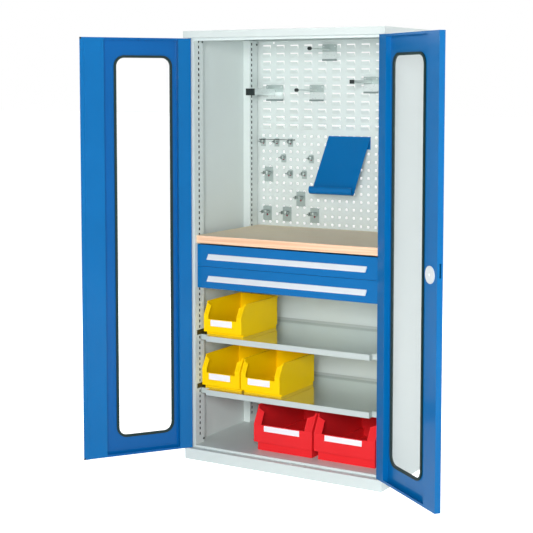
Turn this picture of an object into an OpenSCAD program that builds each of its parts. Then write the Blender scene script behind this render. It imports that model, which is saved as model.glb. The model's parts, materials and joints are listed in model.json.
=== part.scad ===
// Workshop cupboard with two window doors, a tool panel back, a worktop, two drawers,
// two shelves and stacking bins. Millimetres, +Z up, front towards -Y.
// The origin is the middle of the base on the floor.

/* [Cabinet] */
// Overall width
body_w = 1000; // [940:1:1100]
// Overall depth
body_d = 600; // [580:1:700]
// Overall height
body_h = 1950; // [1940:1:2050]
// Height of the base plinth
plinth_h = 50; // [40:1:60]
// Height of the roof cap
cap_h = 31; // [25:1:40]
// Thickness of the body sheet
sheet = 1.5; // [1:0.1:2]
// Width of the frame beside the opening
frame_w = 37; // [34:1:44]
// Setback of the frame behind the cap, where the doors close
door_recess = 34; // [32:1:40]
// Height of the floor tray above the plinth
floor_rise = 10; // [6:1:20]
// Height of the header rail under the cap
header_h = 12; // [8:1:20]
// Depth of the header rail's lower flange
header_d = 24; // [12:1:40]
// Return of the cap and plinth over the doors
front_return = 40; // [37:1:50]
// Return of the cap and plinth at the back
back_return = 20; // [12:1:30]
// Width of the floor flange inside the plinth
foot_flange = 30; // [26:1:40]
// Radius of the floor fixing holes
floor_hole_r = 5.5; // [4:0.5:7]
// Distance of the floor fixing holes from the outer faces
floor_hole_inset = 16; // [13:1:18]
// Radius of the wall fixing holes
wall_hole_r = 5; // [3:0.5:7]
// Distance between the two wall fixing holes
wall_hole_spacing = 760; // [600:1:780]
// Distance of the wall fixing holes below the cap
wall_hole_drop = 8; // [8:0.5:9]

/* [Posts] */
// Depth of the slotted posts
post_d = 72; // [70:1:80]
// Setback of the front slots in their post
front_slot_inset = 35; // [20:1:50]
// Place of the rear post behind the cap front
rear_post_y = 511; // [490:1:515]
// Setback of the rear slots in their post
rear_slot_inset = 18; // [12:1:50]
// Distance between slots
slot_pitch = 25; // [20:1:30]
// Height of a slot
slot_h = 13; // [6:0.5:14]
// Width of a slot
slot_w = 9; // [3:0.5:10]
// Height of the lowest slot
slot_z0 = 105; // [90:1:140]
// Radius of the bolt heads in the posts
bolt_r = 5; // [3:0.5:7]
// Height of the bolt heads
bolt_h = 2.5; // [1.5:0.5:4]
// Distance of the bolts from the post ends
bolt_inset = 16; // [10:1:25]

/* [Back] */
// Height of the seam under the perforated panel
peg_z0 = 1022; // [1000:1:1027]
// Height of the seam between perforated and louvred panel
louvre_z0 = 1494; // [1485:1:1496]
// Hole pitch of both panels
panel_pitch = 38; // [36:1:40]
// Side of a square hole
peg_hole = 10; // [6:0.5:12]
// Height of the lowest row of square holes
peg_row_z0 = 1047; // [1044:1:1050]
// Rows of square holes
peg_rows = 12; // [8:1:12]
// Columns of square holes
peg_cols = 24; // [18:1:24]
// Height of the lip edge of the lowest louvre
louvre_row_z0 = 1515; // [1510:1:1520]
// Plain sheet left over the top row of louvres
louvre_top_gap = 20; // [18:1:30]
// Width of a louvre
louvre_w = 44; // [30:1:60]
// Height of a louvre
louvre_h = 18; // [12:1:18]
// How far a louvre stands out
louvre_out = 9; // [5:0.5:10]
// Open slot left over the lip of a louvre
louvre_slot = 6; // [5:0.5:7]

/* [Doors] */
// Thickness of a door
door_t = 26; // [24:1:28]
// Thickness of the door sheet
door_sheet = 1.2; // [1:0.1:1.5]
// Gap over and under the doors
door_gap = 2; // [1.5:0.5:3]
// Gap between the closed doors
centre_gap = 3; // [2:0.5:5]
// Opening angle of the left door as shown
open_left = 125; // [0:0.5:145]
// Opening angle of the right door as shown
open_right = 143; // [0:0.5:145]
// Height of the lip on the top and bottom rims
rim_lip = 10; // [6:1:16]
// Width of the box stile at the free edge
stile_w = 93; // [85:1:100]
// Width of the channel at the hinge edge
channel_w = 60; // [50:1:64]
// Clear width of the window
window_w = 250; // [200:1:256]
// Distance of the clear window from the hinge edge
window_s = 93; // [84:1:100]
// Distance of the clear window from the door's ends
window_margin = 88; // [60:1:140]
// Corner radius of the clear window
window_r = 37; // [20:1:60]
// Width of the rubber profile round the window
gasket_w = 11; // [10:0.5:16]
// Thickness of the rubber profile
gasket_t = 9; // [8:1:12]
// How far the rubber profile stands out of the door's outer face
gasket_proud = 2; // [1:0.5:3]
// Grip of the rubber profile on the pane
pane_grip = 4; // [3:0.5:4.5]
// Grip of the rubber profile on the sheet
sheet_grip = 5; // [4:0.5:5.5]
// Thickness of the window pane
pane_t = 4; // [3:0.5:5]
// How far the left door laps over the right one
overlap = 15; // [10:1:16]
// Clearance of the lap strip behind the right door
lap_clear = 1; // [0.5:0.5:1.5]
// Height of the rubber buffers in the corners of the lap strip
buffer_h = 8; // [6:1:20]
// Width of the rubber buffers
buffer_w = 8; // [5:0.5:12]
// Radius of the hinge pins
pin_r = 4; // [3:0.5:5]
// Running clearance of the hinge pins
pin_clear = 0.05; // [0.02:0.01:0.1]
// Length of the hinge pins above their block
pin_len = 14; // [12:0.5:16]
// Height of the hinge blocks
block_h = 38; // [20:1:60]
// Side of the hinge blocks
block_w = 18; // [14:1:22]
// Wall of the hinge bushes
bush_wall = 3; // [2:0.5:4]
// Height of the hinge bushes behind the sheet
bush_h = 8; // [6:0.5:10]
// Clearance between a door and its bush
bush_clear = 0.3; // [0.2:0.1:0.5]

/* [Lock] */
// Height of the lock
lock_z = 980; // [900:1:1100]
// Distance of the lock from the free edge
lock_inset = 53; // [50:1:54]
// Radius of the cover inside the door
rose_r = 35; // [24:1:35]
// Thickness of the cover inside the door
rose_t = 3.5; // [2:0.5:4]
// Radius of the turning knob
knob_r = 22; // [16:1:28]
// How far the knob stands out
knob_out = 19; // [14:1:24]
// Thickness of the plate under the knob
knob_plate = 3; // [2:0.5:4]
// Radius of the lock spindle
spindle_r = 5; // [4:0.5:5]
// Length of the latch tongue from the spindle
tongue_len = 65; // [61:1:67]
// Width of the latch tongue
tongue_w = 12; // [8:1:14]
// Thickness of the latch and of the rods
bar_t = 3; // [2:0.5:3]
// Setback of the latch behind the outer face
latch_t = 9; // [8:0.5:10]
// Width of the locking rods
rod_w = 14; // [10:1:18]
// Radius at which the cam drives the rods
drive_r = 12; // [11:0.5:13]
// Radius of the drive pins
drive_pin_r = 2.5; // [2:0.5:3]
// Free play of a drive pin in its rod
drive_play = 0.8; // [0.6:0.1:1.2]
// Wall of a rod around its drive slot
rod_wall = 1.5; // [1:0.1:1.5]
// Clearance between the knob, the latch and what they turn against
lock_clear = 0.4; // [0.3:0.1:0.6]
// Play of the rods in the door and in the frame
rod_play = 1; // [0.5:0.1:2]

/* [Worktop and drawers] */
// Height of the top face of the worktop
worktop_z = 1028; // [1020:1:1034]
// Thickness of the worktop
worktop_t = 34; // [25:1:36]
// Setback of the worktop and shelves behind the cap front
shelf_y = 48; // [44:1:60]
// Height of a drawer front
drawer_h = 98; // [80:1:100]
// Gap between the drawer fronts
drawer_gap = 1.5; // [1:0.5:3]
// Gap between the upper drawer front and the worktop
drawer_top_gap = 7; // [6:0.5:9]
// Thickness of a drawer front
drawer_front_t = 18; // [12:1:24]
// Setback of the drawer fronts behind the cap front
drawer_y = 50; // [50:1:56]
// Depth of a drawer box
drawer_d = 477; // [300:1:485]
// Height of a drawer box
drawer_box_h = 78; // [50:1:78]
// Wall of a drawer box
drawer_wall = 1.5; // [1:0.1:2]
// Height of the fixed drawer rails
rail_h = 40; // [30:1:46]
// Depth of the fixed drawer rails across the cabinet
rail_w = 10; // [8:0.5:12]
// Thickness of the carrier plates
carrier_t = 1.5; // [1:0.1:2]
// Width of the flange that carries the worktop
carrier_flange = 30; // [20:1:40]
// Running gap of the drawer rails
rail_gap = 0.3; // [0.2:0.1:0.5]
// Length of a grip strip
grip_l = 800; // [500:1:860]
// Height of a grip strip
grip_h = 24; // [18:1:30]
// How far a grip strip stands out
grip_out = 16; // [10:1:16]
// Distance of a grip strip below the front's top edge
grip_drop = 41; // [20:1:50]
// Thickness of a grip strip
grip_t = 2.5; // [1.5:0.5:3]

/* [Shelves] */
// Height of the upper shelf
shelf_upper_z = 569; // [560:1:600]
// Height of the lower shelf
shelf_lower_z = 320; // [300:1:340]
// Height of the shelf edges
shelf_edge = 25; // [20:1:30]
// Width of the cut-outs in the shelf corners
shelf_notch_w = 46; // [30:1:60]
// Depth of the cut-outs in the shelf corners
shelf_notch_d = 30; // [15:1:60]
// Upstand of the shelf rails above the shelf
rail_upstand = 22; // [10:1:30]
// Height of the stop along a shelf's rear edge
shelf_stop = 12; // [8:1:20]
// Width of the ledge under a shelf
rail_ledge = 25; // [15:1:40]

/* [Bins] */
// Width of a yellow bin
bin_s_w = 208; // [190:1:208]
// Length of a yellow bin
bin_s_l = 320; // [280:1:400]
// Height of a yellow bin
bin_s_h = 150; // [130:1:170]
// Width of a red bin
bin_l_w = 305; // [280:1:306]
// Length of a red bin
bin_l_l = 470; // [400:1:480]
// Height of a red bin
bin_l_h = 200; // [170:1:210]
// Wall of a bin
bin_wall = 2.5; // [2:0.1:3]
// Height of a yellow bin's foot
foot_s_h = 14; // [10:1:24]
// Height of the front wall of a yellow bin
mouth_s_z = 72; // [55:1:85]
// Height of a red bin's foot
foot_l_h = 41; // [30:1:50]
// Height of the front wall of a red bin
mouth_l_z = 121; // [85:1:121]
// Height of a bin's shoulder as a share of its height
bin_shoulder = 0.61; // [0.6:0.01:0.7]
// Run of the slope over the shoulder as a share of the bin's height
bin_slope = 0.22; // [0.1:0.01:0.3]
// How far a bin's rim stands out
bin_rim = 3; // [2:0.5:4]
// Height of a bin's rim
rim_h = 8; // [5:1:12]
// Width left beside the mouth, as a share of the bin's width
mouth_side = 0.13; // [0.1:0.01:0.18]
// Height up to which the front stands beside the mouth, as a share of the bin's height
mouth_post = 0.87; // [0.8:0.01:0.88]
// Height at which the mouth reaches its full width, as a share of the bin's height
mouth_ledge = 0.93; // [0.9:0.01:0.96]
// Sideways setback of a yellow bin's foot
foot_s_in = 6; // [5:1:20]
// Setback of a yellow bin's foot behind its front
foot_s_back = 22; // [10:1:30]
// Sideways setback of a red bin's foot
foot_l_in = 13; // [5:1:20]
// Setback of a red bin's foot behind its front
foot_l_back = 19; // [10:1:30]
// Clearance of a bin over what it stands on
bin_clear = 0.3; // [0.2:0.1:0.5]
// Setback of the yellow bins behind the shelf's front edge
bin_s_y = 31; // [20:1:80]
// Setback of the red bins behind the cap front
bin_l_y = 94; // [60:1:105]
// Gap between the upper bin and the left post
top_bin_gap = 14; // [2:1:60]
// Gap between the lower bins and the left post
pair_gap = 4; // [2:0.5:30]
// Gap between the lower yellow bins
pair_between = 1.5; // [1:0.5:10]
// Gap between the red bins and the left post
red_x = 273; // [200:1:290]
// Gap between the red bins
red_gap = 5; // [2:1:20]

/* [Panel fittings] */
// Side of a hook plate
plate_w = 76; // [60:1:76]
// Thickness of the hook plates
plate_t = 2; // [1.5:0.5:3]
// Radius of the round hooks
hook_r = 4; // [3:0.5:6]
// Length of the hooks
hook_l = 195; // [120:1:220]
// Clearance of the hook plates before the louvres
hook_clear = 0.3; // [0.2:0.1:0.5]
// Side of the square hook
bar_side = 14; // [10:1:20]
// Width of the broad hook
broad_w = 38; // [30:1:50]
// Height of the broad hook
broad_h = 28; // [20:1:34]
// Length of the broad hook
broad_l = 200; // [120:1:204]
// Width of the broad hook's plate
broad_plate_w = 92; // [70:1:100]
// Distance of that plate's middle to the right of the hook
broad_shift = 16; // [0:1:20]
// Thickness of the caps on the hooks
tip_t = 6; // [3:1:12]
// Width of the document holder
holder_w = 220; // [180:1:240]
// Length of the document holder's sloping plate
holder_l = 290; // [240:1:320]
// Lean of the document holder
holder_lean = 33.5; // [25:0.5:40]
// Height of the document holder over its pegs
holder_rise = 42; // [30:1:42]
// Height of the document holder's back flange
holder_flange = 59; // [50:1:70]
// Inner radius of the document holder's curled lip
holder_lip_r = 18; // [10:1:18]
// How far round the lip is curled
holder_curl = 240; // [200:5:250]
// First column of square holes behind the document holder
holder_col = 11; // [10:1:13]
// Width of the document holder left of its first peg
holder_side = 58; // [40:1:80]
// Radius of a small tool clip
clip_small_r = 11; // [9:0.5:14]
// Radius of a large tool clip
clip_large_r = 20; // [16:0.5:24]
// Radius of the thin rail behind the upper clips
clip_rail_r = 1.5; // [1:0.5:2]
// Height of a tool clip
clip_h = 13; // [8:1:18]
// Wall of a tool clip
clip_wall = 1.4; // [1:0.1:2]
// Half width of a clip's base plate as a share of its radius
clip_plate = 1.2; // [1.1:0.05:1.4]
// Reach of a clip's base plate over its middle as a share of its radius
plate_up = 1.4; // [1:0.1:1.5]
// Reach of a clip's base plate under its middle as a share of its radius
plate_down = 2.2; // [1.5:0.1:2.3]
// Half width of the way into a clip as a share of its radius
clip_mouth = 0.7; // [0.5:0.05:0.8]
// Height of the clips over the holes behind them
clip_rise = 10; // [6:1:12]

/* [Hidden] */
$fn = 48;

light_grey = [0.80, 0.83, 0.82];
door_blue = [0.10, 0.38, 0.70];
steel = [0.72, 0.74, 0.75];
rubber = [0.10, 0.18, 0.16];
beech = [0.88, 0.72, 0.55];
bin_yellow = [0.98, 0.80, 0.05];
bin_red = [0.88, 0.15, 0.17];
white = [0.93, 0.93, 0.92];
zinc = [0.42, 0.40, 0.30];

half_w = body_w / 2;
front = -body_d / 2;
back = body_d / 2;
cap_z = body_h - cap_h;
open_w = half_w - frame_w;
floor_z = plinth_h + floor_rise;
flange_y = front + door_recess;
panel_y = back - 2 * sheet;
front_post_y = flange_y + sheet;
inner_front = front + shelf_y;
eps = 0.01;

door_w = half_w - centre_gap / 2;
door_z0 = plinth_h + door_gap;
door_z1 = cap_z - door_gap;
pin_inset = door_t / 2;
bush_r = pin_r + pin_clear;
bush_outer = bush_r + bush_wall;
window_h = door_z1 - door_z0 - 2 * window_margin;
lock_s = door_w - lock_inset;
lap_out = centre_gap / 2 + overlap;
lap_end = door_w + lap_out;
rod_t = latch_t + bar_t + lock_clear;
rod_slot = rod_w + 2 * rod_play;
drive_c = drive_r * cos(45);
neck_r = drive_c - drive_pin_r - drive_play - rod_wall - lock_clear;
rod_end_h = drive_c + drive_pin_r + 4;
bridge_z0 = rod_end_h + lock_clear;
bridge_z1 = bridge_z0 + 11;

drawer_z = [
    worktop_z - worktop_t - drawer_top_gap - drawer_h,
    worktop_z - worktop_t - drawer_top_gap - 2 * drawer_h - drawer_gap
];
carrier_x = open_w - carrier_t;
slide_x = carrier_x - rail_w - rail_gap;
box_half = slide_x - 5;
panel_cols = [for (i = [0 : peg_cols - 1]) (i - (peg_cols - 1) / 2) * panel_pitch];
louvre_rows = floor((cap_z - louvre_top_gap - louvre_row_z0) / panel_pitch) + 1;
hook_back = panel_y - louvre_out - hook_clear;

// A box between two corners
module block(x0, x1, y0, y1, z0, z1) {
    translate([x0, y0, z0]) cube([x1 - x0, y1 - y0, z1 - z0]);
}

// A shape and its mirror image on the other side
module both_sides() {
    children();
    mirror([1, 0, 0]) children();
}

// A rectangle with round corners, from its lower left corner
module round_rect(w, h, r) {
    translate([r, 0]) square([w - 2 * r, h]);
    translate([0, r]) square([w, h - 2 * r]);
    for (x = [r, w - r], y = [r, h - r]) translate([x, y]) circle(r);
}

// A plate standing in the XZ plane, cut from a flat drawing, from y towards +Y
module wall_plate(y, t) {
    translate([0, y + t, 0]) rotate([90, 0, 0]) linear_extrude(t) children();
}

// A plate standing in the YZ plane, cut from a flat drawing, from x towards +X
module side_plate(x, t) {
    translate([x, 0, 0]) rotate([90, 0, 90]) linear_extrude(t) children();
}

// ---- body ----

module side_panel() {
    translate([0, 0, plinth_h]) linear_extrude(cap_z - plinth_h) {
        translate([-half_w, flange_y]) square([sheet, back - flange_y]);
        translate([-half_w, flange_y]) square([frame_w, sheet]);
        translate([-half_w, back - sheet]) square([back_return, sheet]);
    }
}

module side_left() {
    color(light_grey) side_panel();
}

module side_right() {
    color(light_grey) mirror([1, 0, 0]) side_panel();
}

// The hollow tray that both the cap and the plinth are folded from
module ring_tray(z0, z1) {
    difference() {
        block(-half_w, half_w, front, back, z0, z1);
        block(-half_w + sheet, half_w - sheet, front + sheet, back - sheet, z0 + sheet, z1 - sheet);
        children();
    }
}

module pin_holes(z) {
    both_sides() translate([half_w - pin_inset, front + pin_inset, z - 5]) cylinder(h = 10, r = bush_outer);
}

// The slot that a locking rod enters when the doors are shut
module strike_hole(z) {
    translate([half_w - lock_s - rod_slot / 2, front + rod_t - rod_play, z - 5])
        cube([rod_slot, bar_t + 2 * rod_play, 10]);
}

module roof_cap() {
    color(light_grey) ring_tray(cap_z, body_h) {
        block(-open_w, open_w, front + front_return, back - back_return, cap_z - 1, cap_z + sheet + eps);
        pin_holes(cap_z);
        strike_hole(cap_z);
    }
}

module header_rail() {
    color(light_grey) {
        block(-open_w, open_w, flange_y, flange_y + sheet, cap_z - header_h, cap_z);
        block(-open_w, open_w, flange_y, flange_y + header_d, cap_z - header_h, cap_z - header_h + sheet);
    }
}

module plinth() {
    color(light_grey) ring_tray(0, plinth_h) {
        block(-open_w, open_w, front + front_return, back - back_return, plinth_h - sheet - eps, plinth_h + 1);
        block(-half_w + foot_flange, half_w - foot_flange, front + foot_flange, back - foot_flange,
            -1, sheet + eps);
        pin_holes(plinth_h);
        strike_hole(plinth_h);
        for (x = [-1, 1], y = [-1, 1])
            translate([x * (half_w - floor_hole_inset), y * (back - floor_hole_inset), -1])
                cylinder(h = sheet + 2, r = floor_hole_r);
    }
}

module floor_tray() {
    side_x = half_w - sheet;
    color(light_grey) difference() {
        union() {
            block(-side_x, side_x, front_post_y, panel_y, plinth_h, floor_z);
            block(-open_w, open_w, flange_y, front_post_y + eps, plinth_h, floor_z);
        }
        block(-side_x + sheet, side_x - sheet, front_post_y + sheet, panel_y - sheet,
            plinth_h - 1, floor_z - sheet);
        block(-open_w + sheet, open_w - sheet, flange_y + sheet, front_post_y + 2 * sheet,
            plinth_h - 1, floor_z - sheet);
    }
}

module back_lower() {
    color(light_grey) block(-half_w + sheet, half_w - sheet, panel_y, back - sheet, plinth_h, peg_z0);
}

module pegboard_panel() {
    color(light_grey) wall_plate(panel_y, sheet) difference() {
        translate([-half_w + sheet, peg_z0]) square([body_w - 2 * sheet, louvre_z0 - peg_z0]);
        for (x = panel_cols, j = [0 : peg_rows - 1])
            translate([x, peg_row_z0 + j * panel_pitch]) square(peg_hole, center = true);
    }
}

// One louvre: a tongue pressed out under its slot, with its lip up
module louvre(x, z) {
    lip = 2;
    translate([x - louvre_w / 2, panel_y, z]) rotate([90, 0, 90]) linear_extrude(louvre_w)
        polygon([[0, -louvre_h], [-louvre_out, -lip], [-louvre_out, 0], [-louvre_out + sheet, 0],
            [-louvre_out + sheet, -lip], [sheet, -louvre_h + sheet], [sheet, -louvre_h]]);
}

module louvre_panel() {
    color(light_grey) union() {
        wall_plate(panel_y, sheet) difference() {
            translate([-half_w + sheet, louvre_z0]) square([body_w - 2 * sheet, cap_z - louvre_z0]);
            for (i = [0 : 2 : peg_cols - 2], j = [0 : louvre_rows - 1])
                translate([panel_cols[i] + (panel_pitch - louvre_w) / 2,
                    louvre_row_z0 + j * panel_pitch - louvre_h + sheet])
                    square([louvre_w, louvre_h - sheet + louvre_slot]);
            for (x = [-1, 1]) translate([x * wall_hole_spacing / 2, cap_z - wall_hole_drop])
                circle(wall_hole_r);
        }
        for (i = [0 : 2 : peg_cols - 2], j = [0 : louvre_rows - 1])
            louvre(panel_cols[i] + panel_pitch / 2, louvre_row_z0 + j * panel_pitch);
    }
}

// A post on the left side, open towards the side panel, with its slots at y + inset
module post(y, inset) {
    z0 = floor_z;
    slots = floor((cap_z - slot_z0 - slot_h) / slot_pitch);
    difference() {
        block(-half_w + sheet, -open_w, y, y + post_d, z0, cap_z);
        block(-half_w, -open_w - sheet, y + sheet, y + post_d - sheet, z0 - 1, cap_z + 1);
        side_plate(-open_w - 2 * sheet, 3 * sheet) for (k = [0 : slots])
            translate([y + inset - slot_w / 2, slot_z0 + k * slot_pitch - slot_h / 2]) square([slot_w, slot_h]);
    }
}

module post_front_left() {
    color(light_grey) post(front_post_y, front_slot_inset);
}

module post_front_right() {
    color(light_grey) mirror([1, 0, 0]) post(front_post_y, front_slot_inset);
}

module post_rear_left() {
    color(light_grey) post(front + rear_post_y, rear_slot_inset);
}

module post_rear_right() {
    color(light_grey) mirror([1, 0, 0]) post(front + rear_post_y, rear_slot_inset);
}

module body_bolts() {
    bolt_y = [front_post_y + post_d - 9, front + rear_post_y + post_d - 9];
    color(steel) both_sides() for (y = bolt_y, z = [floor_z + bolt_inset, cap_z - bolt_inset])
        translate([-open_w, y, z]) rotate([0, 90, 0]) cylinder(h = bolt_h, r = bolt_r);
}

module worktop() {
    gap = 0.5;
    color(beech) block(-open_w + gap, open_w - gap, inner_front, panel_y - gap,
        worktop_z - worktop_t, worktop_z);
}

// ---- shelves ----

module shelf(z) {
    w = open_w - sheet - 0.5;
    y1 = panel_y - 5;
    notch = [[-w - 1, -w + shelf_notch_w], [w - shelf_notch_w, w + 1]];
    block(-w, w, y1 - sheet, y1, z - eps, z + shelf_stop);
    difference() {
        block(-w, w, inner_front, y1, z - shelf_edge, z);
        block(-w + shelf_notch_w + sheet, w - shelf_notch_w - sheet, inner_front + sheet,
            inner_front + shelf_notch_d + 2 * sheet, z - shelf_edge - 1, z - sheet);
        block(-w + sheet, w - sheet, inner_front + shelf_notch_d + sheet, y1 - sheet,
            z - shelf_edge - 1, z - sheet);
        for (n = notch)
            block(n[0], n[1], inner_front - 1, inner_front + shelf_notch_d, z - shelf_edge - 1, z + 1);
    }
}

module shelf_upper() {
    color(steel) shelf(shelf_upper_z);
}

module shelf_lower() {
    color(steel) shelf(shelf_lower_z);
}

// A rail on the left side that carries a shelf, and stands up beside it
module shelf_rail(z) {
    x0 = -open_w;
    y0 = inner_front;
    y1 = front + rear_post_y + post_d;
    z0 = z - shelf_edge - sheet;
    block(x0, x0 + sheet, y0, y1, z, z + rail_upstand);
    block(x0, x0 + sheet, y0 + shelf_notch_d, y1, z0, z + eps);
    block(x0, x0 + rail_ledge, y0 + shelf_notch_d, y1, z0, z0 + sheet);
}

module shelf_rails() {
    color(zinc) both_sides() for (z = [shelf_lower_z, shelf_upper_z]) shelf_rail(z);
}

// ---- drawers ----

module drawer_carriers() {
    z0 = drawer_z[1];
    z1 = worktop_z - worktop_t;
    color(light_grey) both_sides() {
        block(-open_w, -carrier_x, front + drawer_y + drawer_front_t + 2, front + rear_post_y + post_d, z0, z1);
        block(-open_w, -open_w + carrier_flange, front + drawer_y + drawer_front_t + 2,
            front + rear_post_y + post_d, z1 - sheet, z1);
    }
}

function rail_z(i) = drawer_z[i] + drawer_h / 2;
rail_y = front + drawer_y + drawer_front_t + 3;
rail_l = drawer_d - 5;

module drawer_outer_rails() {
    color(steel) both_sides() for (i = [0, 1]) {
        z = rail_z(i);
        difference() {
            block(-carrier_x, -carrier_x + rail_w, rail_y, rail_y + rail_l, z - rail_h / 2, z + rail_h / 2);
            block(-carrier_x + sheet, -carrier_x + rail_w + 1, rail_y - 1, rail_y + rail_l + 1,
                z - rail_h / 2 + sheet, z + rail_h / 2 - sheet);
        }
    }
}

// The telescopic members between the fixed rails and a drawer
module drawer_slides(i) {
    z = rail_z(i);
    h = rail_h / 2 - sheet - rail_gap;
    x = -carrier_x + sheet + rail_gap;
    both_sides() difference() {
        block(x, -slide_x + rail_gap, rail_y, rail_y + rail_l, z - h, z + h);
        block(x + sheet, -slide_x + 1, rail_y - 1, rail_y + rail_l + 1, z - h + sheet, z + h - sheet);
    }
}

module drawer_box(i) {
    y0 = front + drawer_y + drawer_front_t;
    z0 = drawer_z[i] + 8;
    z = rail_z(i);
    h = rail_h / 2 - 2 * sheet - 2 * rail_gap;
    reach = slide_x + rail_w - sheet - sheet - 2 * rail_gap;
    difference() {
        block(-box_half, box_half, y0, y0 + drawer_d, z0, z0 + drawer_box_h);
        block(-box_half + drawer_wall, box_half - drawer_wall, y0 + drawer_wall, y0 + drawer_d - drawer_wall,
            z0 + drawer_wall, z0 + drawer_box_h + 1);
    }
    both_sides() block(-reach, -box_half + eps, rail_y, rail_y + rail_l, z - h, z + h);
}

module drawer_front(i) {
    w = open_w - 3;
    y0 = front + drawer_y;
    z = drawer_z[i];
    difference() {
        block(-w, w, y0, y0 + drawer_front_t, z, z + drawer_h);
        block(-w + sheet, w - sheet, y0 + sheet, y0 + drawer_front_t + 1, z + sheet, z + drawer_h - sheet);
    }
    block(-w + sheet, w - sheet, y0 + drawer_front_t - sheet, y0 + drawer_front_t, z + sheet, z + drawer_h - sheet);
}

// The sloping strip that the fingers reach under
module drawer_grip(i) {
    o = grip_out;
    t = grip_t;
    translate([-grip_l / 2, front + drawer_y, drawer_z[i] + drawer_h - grip_drop]) rotate([90, 0, 90])
        linear_extrude(grip_l) polygon([[0, 0], [-t, 0], [-o, t - grip_h], [-o, -grip_h], [-o + t, -grip_h],
            [-t, -3 * t], [-t, -4 * t], [0, -4 * t]]);
}

module drawer_upper_box() {
    color(light_grey) drawer_box(0);
}

module drawer_upper_front() {
    color(door_blue) drawer_front(0);
}

module drawer_upper_grip() {
    color(white) drawer_grip(0);
}

module drawer_upper_slides() {
    color(steel) drawer_slides(0);
}

module drawer_lower_box() {
    color(light_grey) drawer_box(1);
}

module drawer_lower_front() {
    color(door_blue) drawer_front(1);
}

module drawer_lower_grip() {
    color(white) drawer_grip(1);
}

module drawer_lower_slides() {
    color(steel) drawer_slides(1);
}

// ---- doors: drawn shut, hinge edge at x = 0, outer face at y = 0, then swung open ----

module hang_left() {
    translate([-half_w + pin_inset, front + pin_inset, 0]) rotate([0, 0, -open_left])
        translate([-pin_inset, -pin_inset, 0]) children();
}

module hang_right() {
    mirror([1, 0, 0]) translate([-half_w + pin_inset, front + pin_inset, 0]) rotate([0, 0, -open_right])
        translate([-pin_inset, -pin_inset, 0]) children();
}

module window_shape(grow) {
    translate([window_s - grow, door_z0 + window_margin - grow])
        round_rect(window_w + 2 * grow, window_h + 2 * grow, window_r + grow);
}

latch_slot_z0 = lock_z - tongue_w / 2 - 2;
latch_slot_z1 = lock_z + tongue_w / 2 + sqrt(pow(tongue_len, 2) - pow(lock_inset - 3, 2)) + 1;

// Opening in the free edge that the latch passes
module latch_cut() {
    block(door_w - 10, door_w + 1, latch_t - 1, latch_t + bar_t + 3, latch_slot_z0, latch_slot_z1);
}

// Openings for the rods in both rims, and for the spindle in the outer face
module rod_cuts() {
    block(lock_s - rod_slot / 2, lock_s + rod_slot / 2, rod_t - rod_play, rod_t + bar_t + rod_play,
        door_z0 - 1, door_z0 + 5);
    block(lock_s - rod_slot / 2, lock_s + rod_slot / 2, rod_t - rod_play, rod_t + bar_t + rod_play,
        door_z1 - 5, door_z1 + 1);
    translate([lock_s, -1, lock_z]) rotate([-90, 0, 0]) cylinder(h = 4, r = spindle_r + 1);
}

module pin_cuts() {
    for (z = [door_z0, door_z1]) translate([pin_inset, pin_inset, z - 5]) cylinder(h = 10, r = pin_r + 0.2);
}

module door_leaf(with_lock) {
    s = door_sheet;
    difference() {
        union() {
            wall_plate(0, s) difference() {
                translate([0, door_z0]) square([door_w, door_z1 - door_z0]);
                window_shape(sheet_grip);
            }
            block(0, s, 0, door_t, door_z0, door_z1);
            block(door_w - s, door_w, 0, door_t, door_z0, door_z1);
            for (z = [door_z0, door_z1 - s]) block(0, door_w, 0, door_t, z, z + s);
            for (z = [door_z0, door_z1 - rim_lip])
                block(channel_w, door_w - stile_w, door_t - s, door_t, z, z + rim_lip);
        }
        latch_cut();
        if (with_lock) rod_cuts();
        pin_cuts();
    }
}

// The box stile at the free edge
module door_stile(with_lock) {
    s = door_sheet;
    difference() {
        union() {
            block(door_w - stile_w, door_w - s, door_t - s, door_t, door_z0 + s, door_z1 - s);
            block(door_w - stile_w, door_w - stile_w + s, s, door_t, door_z0 + s, door_z1 - s);
        }
        if (with_lock) translate([lock_s, door_t - 5, lock_z]) rotate([-90, 0, 0])
            cylinder(h = 10, r = spindle_r + 1);
    }
}

// The channel at the hinge edge
module door_channel() {
    s = door_sheet;
    block(s, channel_w, door_t - s, door_t, door_z0 + s, door_z1 - s);
    block(channel_w - s, channel_w, s, door_t, door_z0 + s, door_z1 - s);
}

// The rubber profile, with one groove for the sheet and one for the pane
module door_gasket() {
    difference() {
        wall_plate(-gasket_proud, gasket_t) difference() {
            window_shape(gasket_w);
            window_shape(0);
        }
        wall_plate(0, door_sheet) difference() {
            window_shape(gasket_w + 1);
            window_shape(sheet_grip);
        }
        wall_plate(door_sheet, pane_t) window_shape(pane_grip);
    }
}

module door_window() {
    wall_plate(door_sheet, pane_t) window_shape(pane_grip);
}

// A hinge block inside each end of the hinge edge, with the pin that turns in the bush
module door_pins() {
    s = door_sheet;
    b = min(block_w, 2 * (pin_inset - s));
    for (up = [0, 1]) {
        z0 = up ? door_z1 - s - block_h : door_z0 + s;
        block(pin_inset - b / 2, pin_inset + b / 2, pin_inset - b / 2, pin_inset + b / 2, z0, z0 + block_h);
        translate([pin_inset, pin_inset, up ? z0 + block_h - 5 : z0 - pin_len])
            cylinder(h = pin_len + 5, r = pin_r);
    }
}

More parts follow.
